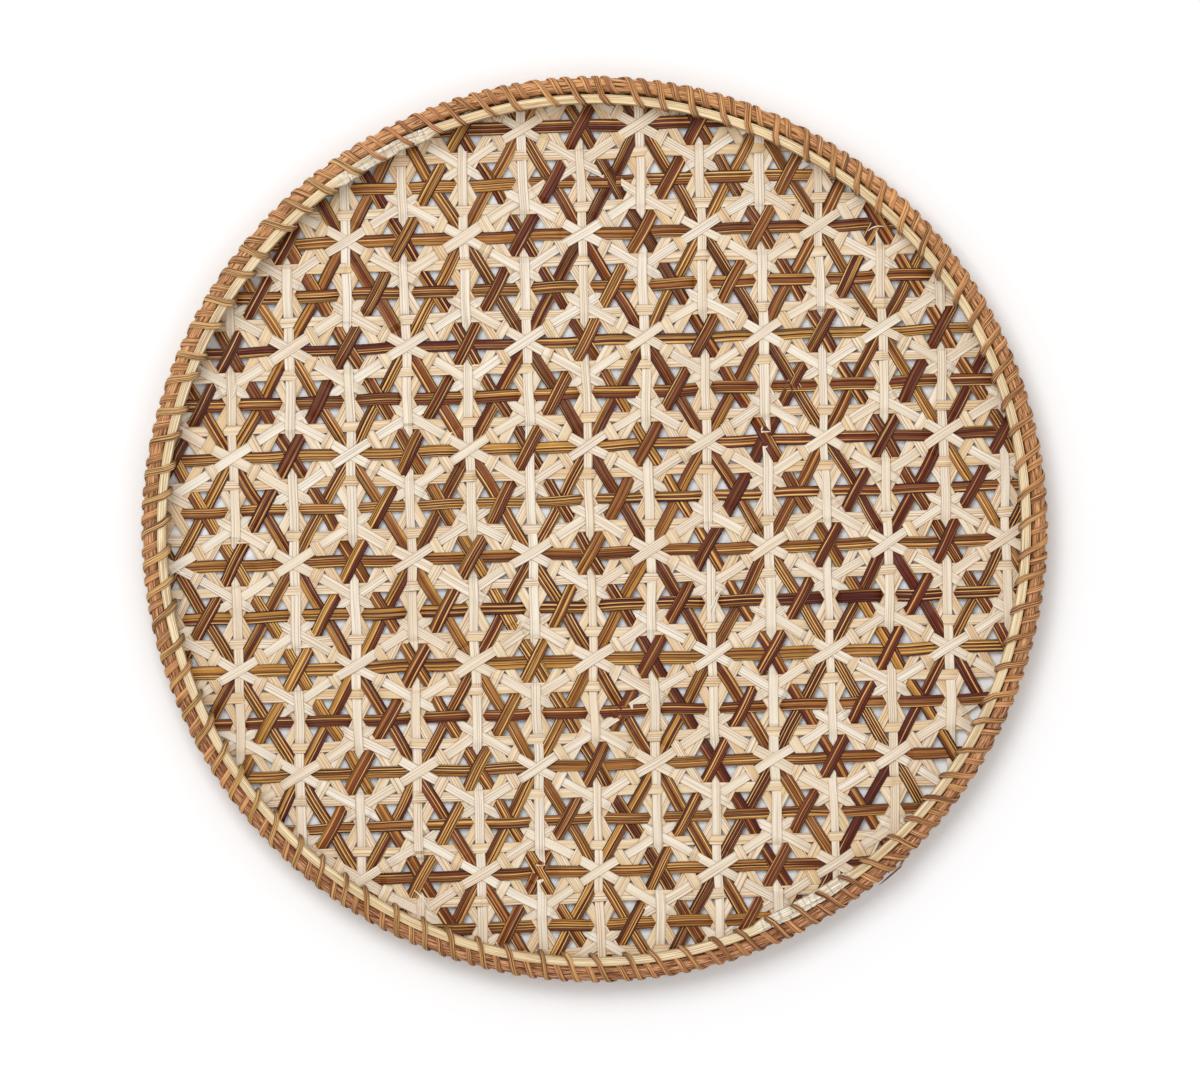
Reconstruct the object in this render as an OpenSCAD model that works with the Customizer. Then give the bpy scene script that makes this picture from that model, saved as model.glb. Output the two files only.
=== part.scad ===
// Round winnowing basket.
// A flat mat of thin bamboo strips, woven in nine sets, is held in a low round rim. The rim is a pale
// bamboo hoop inside, a bamboo band outside, and a round rattan cane on top of the band. A flat rattan
// strand binds them together. The Z axis is the middle of the tray, and Z = 0 is the mat's underside.

/* [Rim] */
// Outer diameter, over the lashing
outer_d = 450; // [430:1:470]
// Diameter of the round rattan cane
cane_d = 7; // [6:0.1:8]
// Thickness of the pale inner hoop
hoop_t = 4.5; // [3:0.1:6]
// Thickness of the outer band
band_t = 3.2; // [2:0.1:4]
// Height of the inner hoop's top edge
rim_h = 21; // [18:0.5:40]
// How far the cane's top stands above the hoop
cane_above = 0.5; // [0:0.1:2]
// Direction of the first joint of the inner hoop, in degrees from +X
hoop_joint_angle = -60.5; // [-180:0.5:180]
// Half the length of a hoop joint, in degrees of the rim
joint_half_angle = 5.5; // [2:0.5:10]
// Direction of the first joint of the cane, in degrees from +X
cane_joint_angle = -47.5; // [-90:0.5:0]
// Direction of the second joint of the cane, in degrees from +X
cane_joint_angle_2 = 107; // [60:0.5:180]

/* [Lashing] */
// Width of the flat rattan strand
strand_w = 3.1; // [1.5:0.1:4]
// Thickness of the strand
strand_t = 0.9; // [0.5:0.1:1.2]
// Number of long stitches round the rim
stitches = 91; // [60:1:100]
// Space left on each side of a strand
strand_gap = 0.05; // [0.02:0.01:0.2]

/* [Weave grid] */
// Distance between crossings along the dark strips that run left to right
pitch_across = 29.5; // [28:0.1:32]
// Direction of those strips, in degrees
turn_across = 2; // [0:0.5:5]
// Distance between crossings along the dark strips that run up to the right
pitch_up = 30.4; // [28:0.1:32]
// Direction of those strips, in degrees
turn_up = 62.5; // [60:0.5:65]
// Place of one white crossing, to the right of the middle
cross_x = -3.3; // [-15:0.1:15]
// Place of that crossing, up from the middle
cross_y = 41.4; // [20:0.1:60]

/* [Strips] */
// Width of the dark strips
dark_w = 5.6; // [4.5:0.1:6.2]
// Width of the straw-coloured base strips
base_w = 4.2; // [3:0.1:4.8]
// Width of the whitest strips, which cross as stars
star_w = 4.5; // [3.5:0.1:5.2]
// Thickness of a strip
strip_t = 0.36; // [0.3:0.02:0.44]
// Rise from one layer of strips to the next
layer_h = 0.44; // [0.44:0.01:0.6]

/* [Hidden] */

// Colours
straw = [0.91, 0.84, 0.67];
dark_brown = [0.50, 0.30, 0.15];
cream = [0.93, 0.89, 0.81];
hoop_pale = [0.88, 0.78, 0.60];
band_tan = [0.80, 0.66, 0.44];
cane_red = [0.76, 0.54, 0.40];
strand_tan = [0.73, 0.52, 0.28];

// The weave is seven layers thick where the white strips cross as a star
top_layer = 6;
mat_top = top_layer * layer_h + strip_t;

// The strand goes round the cane in straight steps of this many degrees, with corners between them.
// wrap_r is the radius of its middle at a corner, and wrap_flat_r that of its outside between corners.
wrap_step = 60;
wrap_mitre = 1 / cos(wrap_step / 2);
half_t = strand_t / 2;
cane_r = cane_d / 2;
wrap_r = (cane_r + strand_gap + half_t) * wrap_mitre;
wrap_flat_r = cane_r + strand_gap + strand_t;

// Rim radii and heights. The strand passes between cane and hoop, and under the hoop over the mat.
strand_room = strand_t + 2 * strand_gap;
lean_room = 0.05;
cane_mid_r = outer_d / 2 - wrap_flat_r;
cane_mid_z = rim_h + cane_above - cane_r;
hoop_out_r = cane_mid_r - wrap_flat_r - lean_room;
hoop_in_r = hoop_out_r - hoop_t;
hoop_low = mat_top + strand_room;
band_in_r = hoop_out_r + strand_room;
band_out_r = band_in_r + band_t;
band_top = cane_mid_z - wrap_flat_r * wrap_mitre - lean_room;
mat_r = band_in_r + band_t / 2;

// Weave grid: point(i, j) is a crossing of three dark strips, and where i and j are both even
// three white strips cross on top of them
across = pitch_across * [cos(turn_across), sin(turn_across)];
up = pitch_up * [cos(turn_up), sin(turn_up)];
function point(i, j) = [cross_x, cross_y] + i * across + j * up;
function is_even(n) = n % 2 == 0;
rows = [-11:11];
even_rows = [for (n = rows) if (is_even(n)) n];
odd_rows = [for (n = rows) if (!is_even(n)) n];
odd_rows_60 = [for (n = odd_rows) if (n < 9) n];
shortest_strip = 55;

// Half the length over which a strip is covered by another that crosses it at an angle
function reach(own_w, other_w, angle) = (other_w + own_w * cos(angle)) / 2 / sin(angle);

// A strip's way through the layers is a list of [distance, layer] steps. This one gives the whole
// repeat from its first half, which starts at distance 0 and ends at distance half.
function there_and_back(steps, half) = concat(
    steps,
    [for (k = [len(steps) - 2:-1:1]) [2 * half - steps[k][0], steps[k][1]]]
);

// Dark strip of a row with white crossings. It lies low under the white crossing at distance 0, goes
// over the base strips, and is the lowest dark strip at distance a.
function dark_low_steps(a, cross_layer, over_layer) = there_and_back([
    [0, cross_layer],
    [reach(dark_w, dark_w, 60) + 0.2, cross_layer],
    [reach(dark_w, star_w, 30) - 0.2, 0],
    [a / 2 - reach(dark_w, base_w, 60), over_layer],
    [a / 2 + reach(dark_w, base_w, 60), over_layer],
    [a - reach(dark_w, dark_w, 60) - 0.2, 1],
    [a, 1]
], a);

// Dark strip of a row between. It lies over the other dark strips at distances 0 and a, and dips
// under the base strips half way between.
function dark_high_steps(a, first_layer, next_layer) = there_and_back([
    [0, first_layer],
    [reach(dark_w, star_w, 30) - 0.4 * (first_layer - 1), first_layer],
    [a / 2 - reach(dark_w, base_w, 60), 0],
    [a / 2 + reach(dark_w, base_w, 60), 0],
    [a - reach(dark_w, star_w, 30) + 0.4 * (next_layer - 1), next_layer],
    [a, next_layer]
], a);

// White strip. It starts under the dark strips, climbs over a base strip to the star, dips under a
// base strip, and lies over the dark strips at the white crossing at distance 2 * h.
function star_steps(h, climb, star_layer, dip_layer) = there_and_back([
    [0, 0],
    [reach(star_w, dark_w, 30) - 0.4, 0],
    [reach(star_w, dark_w, 30) - 0.4 + climb, star_layer],
    [2 * h / 3 + reach(star_w, star_w, 60), star_layer],
    [h + reach(star_w, base_w, 30), 4],
    [(3 * h - base_w) / 2, dip_layer],
    [(3 * h + base_w) / 2, dip_layer],
    [(3 * h + base_w) / 2 + 4.5, dip_layer + 3],
    [2 * h, dip_layer + 3]
], 2 * h);

// A strip that lies along dir through the point start, where its steps begin. It is cut at the rim.
module strip(start, dir, width, steps, whole) {
    along = dir / norm(dir);
    left = [-along[1], along[0]];
    offset_left = start * left;
    edge = abs(offset_left) + width / 2;
    half = edge < mat_r ? sqrt(mat_r * mat_r - edge * edge) : 0;
    first = start * along;
    repeats = [floor((-half - first) / whole) - 1:ceil((half - first) / whole) + 1];
    knots = [for (k = repeats, s = steps) [first + k * whole + s[0], s[1]]];
    bends = [for (k = [1:len(knots) - 2]) if (is_bend(knots, k) && abs(knots[k][0]) < half - 0.3) knots[k]];
    line = concat([[-half, lookup(-half, knots)]], bends, [[half, lookup(half, knots)]]);
    under = [for (p = line) [p[0], p[1] * layer_h]];
    over = [for (k = [len(under) - 1:-1:0]) under[k] + [0, strip_t]];
    if (2 * half > shortest_strip)
        rotate(atan2(along[1], along[0]))
        translate([0, offset_left, 0])
        rotate([90, 0, 0])
        linear_extrude(height = width, center = true)
        polygon(concat(under, over));
}
function is_bend(knots, k) = knots[k][1] != knots[k - 1][1] || knots[k][1] != knots[k + 1][1];

// Base strips lie flat in three layers, half way between the rows of crossings
module base_set(side, dir, layer) {
    color(straw)
    for (n = rows)
        strip(point(side[0] * (n + 0.5), side[1] * (n + 0.5)), dir, base_w, [[0, layer]], pitch_up);
}
module base_strips_0() base_set([0, 1], across, 1);
module base_strips_60() base_set([1, 0], up, 2);
module base_strips_120() base_set([1, 0], up - across, 3);

// Dark strips of the rows that carry white crossings
module dark_low_set(side, dir, cross_layer, over_layer) {
    a = norm(dir);
    steps = dark_low_steps(a, cross_layer, over_layer);
    color(dark_brown)
    for (n = even_rows)
        strip(point(side[0] * n, side[1] * n), dir, dark_w, steps, 2 * a);
}
module dark_low_strips_0() dark_low_set([0, 1], across, 1, 4);
module dark_low_strips_60() dark_low_set([1, 0], up, 2, 4);
module dark_low_strips_120() dark_low_set([1, 0], up - across, 0, 3);

// Dark strips of the rows between
module dark_high_set(numbers, side, dir, first_layer, next_layer) {
    a = norm(dir);
    steps = dark_high_steps(a, first_layer, next_layer);
    color(dark_brown)
    for (n = numbers)
        strip(point(side[0] * n, side[1] * n), dir, dark_w, steps, 2 * a);
}
module dark_high_strips_0() dark_high_set(odd_rows, [0, 1], across, 3, 2);
module dark_high_strips_60() dark_high_set(odd_rows_60, [1, 0], up, 3, 3);
module dark_high_strips_120() dark_high_set(odd_rows, [1, 0], up - across, 2, 2);

// White strips. Each set is given by crossings where its strips lie lowest, one for each strip.
module star_set(starts, dir, climb, star_layer, dip_layer) {
    h = norm(dir) / 2;
    color(cream)
    for (p = starts)
        strip(point(p[0], p[1]), dir, star_w, star_steps(h, climb, star_layer, dip_layer), 4 * h);
}
low_points_30 = [for (c = rows) [2 * c + 1, 1]];
low_points_90 = [for (c = rows) if (c > -7) is_even(c) ? [c - 1, 2] : [c, 0]];
low_points_150 = [for (c = rows) [2 * c - 2, 1]];
module star_strips_30() star_set(low_points_30, across + up, 1.9, 4, 2);
module star_strips_90() star_set(low_points_90, 2 * up - across, 4.1, 6, 0);
module star_strips_150() star_set(low_points_150, up - 2 * across, 3.1, 5, 1);

// Arc of a rectangular section, from one angle to another
module hoop_arc(from, to, r_in, r_out) {
    rotate(from)
    rotate_extrude(angle = to - from, $fn = 180)
    translate([r_in, hoop_low])
    square([r_out - r_in, rim_h - hoop_low]);
}

// One half of the inner hoop. Each end is cut to half thickness and lies on the other half's end.
module inner_hoop_half(from) {
    j = joint_half_angle;
    middle_r = (hoop_in_r + hoop_out_r) / 2;
    color(hoop_pale)
    difference() {
        hoop_arc(from - j + 0.1, from + 180 + j - 0.1, hoop_in_r, hoop_out_r);
        hoop_arc(from - j, from + j, hoop_in_r - 1, middle_r + 0.02);
        hoop_arc(from + 180 - j, from + 180 + j, middle_r - 0.02, hoop_out_r + 1);
    }
}
module inner_hoop_1() inner_hoop_half(hoop_joint_angle);
module inner_hoop_2() inner_hoop_half(hoop_joint_angle + 180);

// Band outside the mat's edge, below the cane
module outer_band() {
    color(band_tan)
    rotate_extrude($fn = 180)
    translate([band_in_r, hoop_low])
    square([band_t, band_top - hoop_low]);
}

// Round cane, in two lengths that meet end to end
module cane_arc(from, to) {
    color(cane_red)
    rotate(from + 0.05)
    rotate_extrude(angle = to - from - 0.1, $fn = 180)
    translate([cane_mid_r, cane_mid_z])
    circle(r = cane_r, $fn = 48);
}
module rim_cane_1() cane_arc(cane_joint_angle, cane_joint_angle_2);
module rim_cane_2() cane_arc(cane_joint_angle_2, cane_joint_angle + 360);

// Lashing route over one stitch, as [share of the stitch, radius, height, direction its face looks, how
// much further out its faces meet at the corner]. A long turn goes over cane and hoop, down the hoop's
// inside, out under the hoop and up outside the band. A short turn then goes round the cane alone.
function on_cane(share, angle) =
    [share, cane_mid_r + wrap_r * cos(angle), cane_mid_z + wrap_r * sin(angle), angle, wrap_mitre];
strand_in_r = hoop_in_r - strand_gap - half_t;
strand_out_r = band_out_r + strand_gap + half_t;
strand_over_z = rim_h + strand_gap + half_t;
strand_under_z = mat_top + strand_gap + half_t;
route = [
    on_cane(0, -wrap_step / 2),
    on_cane(0.09, wrap_step / 2),
    on_cane(0.2, 1.5 * wrap_step),
    [0.45, strand_in_r, strand_over_z, 135, sqrt(2)],
    [0.52, strand_in_r, strand_under_z, 225, sqrt(2)],
    [0.52, strand_out_r, strand_under_z, 315, sqrt(2)],
    on_cane(0.52, -wrap_step / 2),
    on_cane(0.56, wrap_step / 2),
    on_cane(0.65, 1.5 * wrap_step),
    on_cane(0.76, 2.5 * wrap_step),
    on_cane(0.85, 3.5 * wrap_step),
    on_cane(0.93, 4.5 * wrap_step)
];

// The four corners of the strand at step k, counted from the stitch number first
function around(angle, r, z) = [r * cos(angle), r * sin(angle), z];
function strand_ring(first, k) =
    let (row = route[k % len(route)])
    let (angle = 90 - (first + floor(k / len(route)) + row[0]) * 360 / stitches)
    let (mid = around(angle, row[1], row[2]))
    let (side = around(angle + 90, strand_w / 2, 0))
    let (thick = around(angle, cos(row[3]), sin(row[3])) * half_t * row[4])
    [mid - side - thick, mid + side - thick, mid + side + thick, mid - side + thick];

// One length of strand, from stitch number first up to stitch number last
module lashing(first, last) {
    rings = (last - first) * len(route) - 1;
    all_corners = [for (k = [0:rings - 1]) each strand_ring(first, k)];
    sides = [
        for (k = [0:rings - 2], c = [0:3])
        let (low = 4 * k + c, next = 4 * k + (c + 1) % 4)
        each [[low, next, next + 4], [low, next + 4, low + 4]]
    ];
    e = 4 * (rings - 1);
    ends = [[3, 2, 1], [3, 1, 0], [e, e + 1, e + 2], [e, e + 2, e + 3]];
    color(strand_tan)
    polyhedron(all_corners, concat(sides, ends));
}
function length_start(n) = round(stitches * n / 4);
module lashing_1() lashing(length_start(0), length_start(1));
module lashing_2() lashing(length_start(1), length_start(2));
module lashing_3() lashing(length_start(2), length_start(3));
module lashing_4() lashing(length_start(3), length_start(4));

base_strips_0();
base_strips_60();
base_strips_120();
dark_low_strips_0();
dark_low_strips_60();
dark_low_strips_120();
dark_high_strips_0();
dark_high_strips_60();
dark_high_strips_120();
star_strips_30();
star_strips_90();
star_strips_150();
inner_hoop_1();
inner_hoop_2();
outer_band();
rim_cane_1();
rim_cane_2();
lashing_1();
lashing_2();
lashing_3();
lashing_4();
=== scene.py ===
import math

import bpy
import numpy as np
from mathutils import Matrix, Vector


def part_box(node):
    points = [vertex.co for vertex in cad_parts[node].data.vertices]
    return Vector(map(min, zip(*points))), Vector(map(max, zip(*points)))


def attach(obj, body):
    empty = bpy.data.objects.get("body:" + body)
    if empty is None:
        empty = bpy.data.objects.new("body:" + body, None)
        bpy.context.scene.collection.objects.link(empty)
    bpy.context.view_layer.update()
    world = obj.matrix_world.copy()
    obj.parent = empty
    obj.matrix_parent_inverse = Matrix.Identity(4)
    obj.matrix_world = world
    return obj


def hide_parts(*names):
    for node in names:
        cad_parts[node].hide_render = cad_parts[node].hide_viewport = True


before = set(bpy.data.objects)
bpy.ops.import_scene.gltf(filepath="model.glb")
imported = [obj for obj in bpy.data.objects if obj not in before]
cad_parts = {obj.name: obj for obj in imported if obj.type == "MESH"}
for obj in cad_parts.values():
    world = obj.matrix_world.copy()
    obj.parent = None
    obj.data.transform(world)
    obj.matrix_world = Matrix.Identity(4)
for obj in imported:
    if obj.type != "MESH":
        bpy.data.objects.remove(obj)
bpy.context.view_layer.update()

# A woven winnowing basket. Sizes are in millimetres until a mesh is made, and angles in degrees.
# Round the rim, an angle is counted from +X towards +Y, and a clock angle clockwise from the top (+Y).
MM = 0.001
BODY = "root"
rng = np.random.default_rng(7)

# ---------------------------------------------------------------- sizes


def box_mm(node):
    """The lowest and the highest corner of a node of the frame."""
    low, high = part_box(node)
    return np.array(low) / MM, np.array(high) / MM


# Rim: thickness of hoop, band and strand, and the rest from the boxes of hoop, band and cane
HOOP_T = 4.5
BAND_T = 3.2
STRAND_T = 0.9
hoop_low, hoop_high = box_mm("inner_hoop_1")
band_low, band_high = box_mm("outer_band")
cane_low, cane_high = box_mm("rim_cane_2")
HOOP_FOOT, HOOP_TOP = hoop_low[2], hoop_high[2]
HOOP_OUT_R = hoop_high[0]
HOOP_IN_R = HOOP_OUT_R - HOOP_T
BAND_FOOT, BAND_TOP = band_low[2], band_high[2]
BAND_OUT_R = band_high[0]
CANE_R = (cane_high[2] - cane_low[2]) / 2
CANE_MID_R = -cane_low[0] - CANE_R
CANE_MID_Z = cane_high[2] - CANE_R
# Angles of the joints: the hoop's other joint is half way round from this one
HOOP_JOINT = -60.5
CANE_JOINTS = (-47.5, 107)

# Strips of the weave: widths, thickness, least gap between two strips, and spacing of a strip's rings
DARK_W, BASE_W, STAR_W = 6.0, 5.0, 4.7
STRIP_T = 0.36
CLEAR = 0.03
STEP = 1.5
# How much a strip's width varies from strip to strip and along it, as a share
WIDTH_SPREAD = 0.06
WIDTH_WANDER = 0.035
# How far strips stand and wander off their true lines
SIDE_SPREAD = 0.4
SIDE_WANDER = 0.4
# Lengths of the waves in which they wander
SIDE_WAVE, WIDTH_WAVE = 90, 110

# The mat's edge turns up between hoop and band, round a bend of BEND_R that starts at FOLD_R. The
# strips end about TURN_UP above the bend.
BEND_R = 3.0
FOLD_R = HOOP_OUT_R - 2.1
TURN_UP = 7.0
END_SPREAD = 1.5
# A strip is left out where its middle line would pass nearer than this to the fold
LEAST_INSIDE = 3.0


def heading(angle):
    """The direction at this angle, one mm long."""
    a = math.radians(angle)
    return np.array([math.cos(a), math.sin(a)])


# Weave grid: three dark strips cross at each grid point
GRID_0 = np.array([-3.3, 41.4])
GRID_I = 29.5 * heading(2)
GRID_J = 30.4 * heading(62.5)


def srgb(*screen):
    """Linear colour from 0 to 255 screen values."""
    c = np.array(screen, float) / 255
    return np.where(c <= 0.04045, c / 12.92, ((c + 0.055) / 1.055) ** 2.4)


def wander(s, size, wavelength):
    """A smooth random wave along s, about size high."""
    wave = 0
    for share in (1, 0.61, 0.37):
        phase = rng.uniform(0, 2 * math.pi)
        wave = wave + math.sqrt(share) * np.sin(2 * math.pi * s / (wavelength * share) + phase)
    return size * wave / 1.6


def rim_points(angle, r, z):
    """Points at this angle round the rim, radius and height."""
    a = np.radians(angle)
    return np.stack([r * np.cos(a), r * np.sin(a), z + 0 * r], -1)


# ---------------------------------------------------------------- meshes

# Edges that turn by more than this are shaded sharp
SHARP = 30


class Shape:
    """Swept bodies gathered for one mesh, with what the materials read at each point: grain, the place
    along, across and through the material in mm; span, from -1 to 1 across it; and tone, its colour."""

    def __init__(self):
        self.points, self.grain, self.span, self.tone, self.faces = [], [], [], [], []
        self.count = 0

    def sweep(self, rings, grain, span, tone):
        """Adds a body through rings of points that run anticlockwise seen from ahead."""
        n, k = rings.shape[:2]
        index = self.count + np.arange(n * k).reshape(n, k)
        here, ahead = index[:-1], index[1:]
        quads = np.stack([here, np.roll(here, -1, 1), np.roll(ahead, -1, 1), ahead], -1)
        self.faces += quads.reshape(-1, 4).tolist()
        self.faces += [index[0][::-1].tolist(), index[-1].tolist()]
        self.points.append(rings.reshape(-1, 3))
        self.grain.append(np.broadcast_to(grain, (n, k, 3)).reshape(-1, 3))
        self.span.append(np.broadcast_to(span, (n, k)).reshape(-1))
        tone = np.asarray(tone, float)
        tone = tone if tone.ndim == 1 else tone[:, None, :]
        self.tone.append(np.broadcast_to(tone, (n, k, 3)).reshape(-1, 3))
        self.count += n * k

    def build(self, name, material, nodes):
        """Makes the mesh's object, which shows in place of these nodes of the frame."""
        mesh = bpy.data.meshes.new(name)
        mesh.from_pydata(np.concatenate(self.points) * MM, [], self.faces)
        grain = mesh.attributes.new("grain", "FLOAT_VECTOR", "POINT")
        grain.data.foreach_set("vector", np.concatenate(self.grain).astype(np.float32).ravel())
        span = mesh.attributes.new("span", "FLOAT", "POINT")
        span.data.foreach_set("value", np.concatenate(self.span).astype(np.float32))
        tone = mesh.attributes.new("tone", "FLOAT_VECTOR", "POINT")
        tone.data.foreach_set("vector", np.concatenate(self.tone).astype(np.float32).ravel())
        mesh.materials.append(material)
        mesh.shade_smooth()
        mesh.set_sharp_from_angle(angle=math.radians(SHARP))
        obj = bpy.data.objects.new(name, mesh)
        bpy.context.scene.collection.objects.link(obj)
        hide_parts(*nodes)
        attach(obj, BODY)


# ---------------------------------------------------------------- materials


class Nodes:
    """Short names for making a material's nodes."""

    def __init__(self, name):
        self.material = bpy.data.materials.new(name)
        self.material.use_nodes = True
        self.tree = self.material.node_tree
        self.shader = self.tree.nodes["Principled BSDF"]

    def add(self, kind, inputs, **settings):
        node = self.tree.nodes.new("ShaderNode" + kind)
        for key, value in settings.items():
            setattr(node, key, value)
        for key, value in inputs.items():
            if isinstance(value, bpy.types.NodeSocket):
                self.tree.links.new(value, node.inputs[key])
            else:
                node.inputs[key].default_value = value
        return node

    def attribute(self, name):
        node = self.add("Attribute", {}, attribute_name=name)
        return node.outputs["Fac" if name == "span" else "Vector"]

    def noise(self, scale, detail=0.0, roughness=0.5):
        """Noise over the grain, with scale in waves per mm along, across and through."""
        place = self.add("Mapping", {"Vector": self.attribute("grain"), "Scale": scale})
        inputs = {"Vector": place.outputs[0], "Scale": 1.0, "Detail": detail, "Roughness": roughness}
        return self.add("TexNoise", inputs).outputs["Fac"]

    def math(self, operation, a, b=0.0):
        return self.add("Math", {0: a, 1: b}, operation=operation).outputs[0]

    def ramp(self, value, low, high, to_low=0.0, to_high=1.0):
        """value from low to high, taken smoothly to the range from to_low to to_high."""
        inputs = {"Value": value, "From Min": low, "From Max": high, "To Min": to_low, "To Max": to_high}
        return self.add("MapRange", inputs, interpolation_type="SMOOTHSTEP").outputs[0]

    def mix(self, amount, a, b):
        """Colour a, with this amount of colour b."""
        return self.add("Mix", {0: amount, 6: a, 7: b}, data_type="RGBA").outputs[2]

    def layer(self, base, shade, mask, amount):
        """The colour base, with a layer of shade where mask is 1, this strong."""
        return self.mix(self.math("MULTIPLY", mask, amount), base, shade)

    def rules(self, spacing, half_width, fade=(0.4, 0.56)):
        """Crisp lines along the grain, this far apart across it, that wander and fade in and out."""
        y = self.add("SeparateXYZ", {0: self.attribute("grain")}).outputs[1]
        drift = self.math("MULTIPLY", self.noise((0.004, 0.45 / spacing, 1.0)), 1.6 * spacing)
        place = self.math("FRACT", self.math("DIVIDE", self.math("ADD", y, drift), spacing))
        away = self.math("MULTIPLY", self.math("ABSOLUTE", self.math("SUBTRACT", place, 0.5)), spacing)
        line = self.ramp(away, 0.6 * half_width, 1.4 * half_width, 1.0, 0.0)
        return self.math("MULTIPLY", line, self.ramp(self.noise((0.008, 0.83 / spacing, 1.0)), *fade))

    def edges(self, start):
        """1 at the two edges of the strip, and 0 within start of its middle: where the strips' edges get
        painted shade.
        """
        return self.ramp(self.math("ABSOLUTE", self.attribute("span")), start, 1.0)

    def finish(self, colour, rough, bump, distance, shine=0.3):
        """Joins colour, roughness and a bump this many mm high to the shader."""
        self.shader.inputs["Specular IOR Level"].default_value = shine
        self.tree.links.new(colour, self.shader.inputs["Base Color"])
        self.tree.links.new(rough, self.shader.inputs["Roughness"])
        inputs = {"Height": bump, "Strength": 0.6, "Distance": distance * MM}
        self.tree.links.new(self.add("Bump", inputs).outputs[0], self.shader.inputs["Normal"])
        return self.material


def opaque(*screen):
    """A material's colour from 0 to 255 screen values."""
    return (*srgb(*screen), 1.0)


def dark_bamboo():
    """Stained bamboo skin: golden and maroon bands, with crisp dark and golden lines along the strip, and
    edges darkened as painted shade.
    """
    n = Nodes("dark_bamboo")
    dark_line_and_edge_shade = opaque(30, 4, 2)
    golden = n.ramp(n.noise((0.005, 0.62, 1.0), 1.0), 0.5, 0.62, 0.0, 0.7)
    base = n.mix(golden, n.attribute("tone"), opaque(212, 154, 70))
    maroon = n.ramp(n.noise((0.006, 0.5, 1.0), 1.0), 0.49, 0.38, 0.0, 0.8)
    base = n.mix(maroon, base, opaque(82, 26, 14))
    golden_line = n.rules(spacing=1.7, half_width=0.24, fade=(0.42, 0.54))
    base = n.layer(base, opaque(244, 196, 118), golden_line, 0.9)
    fibre = n.noise((0.1, 4.0, 4.0), 3.0, 0.6)
    base = n.mix(n.ramp(fibre, 0.45, 0.7, 0.0, 0.5), base, opaque(66, 24, 14))
    line = n.rules(spacing=1.15, half_width=0.19, fade=(0.36, 0.5))
    base = n.layer(base, dark_line_and_edge_shade, line, 0.92)
    # Painted shade: the strip's edges are darkened with the dark line colour
    base = n.layer(base, dark_line_and_edge_shade, n.edges(0.78), 0.85)
    bump = n.math("SUBTRACT", n.math("MULTIPLY", fibre, 0.5), line)
    return n.finish(base, n.ramp(fibre, 0.3, 0.7, 0.34, 0.5), bump, distance=0.14, shine=0.16)


def pale_bamboo(name, line_and_edge_shade_colour, line_amount, patch_colour, edge_shade_amount):
    """Split bamboo without stain: pale and patchy, with faint lines along the strip, and its edges darkened
    as painted shade.
    """
    n = Nodes(name)
    patch = n.ramp(n.noise((0.02, 0.5, 1.0)), 0.35, 0.7, 0.0, 0.4)
    base = n.mix(patch, n.attribute("tone"), patch_colour)
    white = n.ramp(n.noise((0.012, 0.7, 1.0), 1.0), 0.5, 0.64, 0.0, 0.55)
    base = n.mix(white, base, opaque(242, 234, 220))
    fibre = n.noise((0.05, 4.0, 4.0), 3.0, 0.6)
    base = n.mix(n.ramp(fibre, 0.48, 0.72, 0.0, 0.4), base, line_and_edge_shade_colour)
    line = n.rules(spacing=1.25, half_width=0.15)
    base = n.layer(base, line_and_edge_shade_colour, line, line_amount)
    # Painted shade: the strip's edges are darkened with the line colour
    base = n.layer(base, line_and_edge_shade_colour, n.edges(0.84), edge_shade_amount)
    bump = n.math("SUBTRACT", n.math("MULTIPLY", fibre, 0.6), line)
    return n.finish(base, n.ramp(fibre, 0.3, 0.7, 0.5, 0.65), bump, distance=0.12)


def fibrous(name, streak, streak_amount, dark, dark_amount, pale, waves, bump_height, rough, lines=0.0):
    """Rattan or lath: long streaks, pale fibres, and dark cracks between them. waves is how often the
    streaks change along each mm, and lines how strong crisp dark lines are."""
    n = Nodes(name)
    coarse = n.noise((waves, 0.7, 0.7), 1.0)
    fine = n.noise((waves * 2.0, 2.0, 2.0), 4.0, 0.65)
    base = n.mix(n.ramp(coarse, 0.42, 0.62, 0.0, streak_amount), n.attribute("tone"), streak)
    base = n.mix(n.ramp(fine, 0.48, 0.36, 0.0, 0.75), base, pale)
    crack = n.ramp(fine, 0.52, 0.6)
    base = n.layer(base, dark, crack, dark_amount)
    bump = n.math("SUBTRACT", n.math("MULTIPLY", coarse, 0.7), crack)
    if lines:
        line = n.rules(spacing=0.95, half_width=0.14, fade=(0.38, 0.52))
        base = n.layer(base, dark, line, lines)
        bump = n.math("SUBTRACT", bump, line)
    return n.finish(base, n.ramp(fine, 0.3, 0.7, rough, rough + 0.15), bump, distance=bump_height)


# ---------------------------------------------------------------- weave


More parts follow.
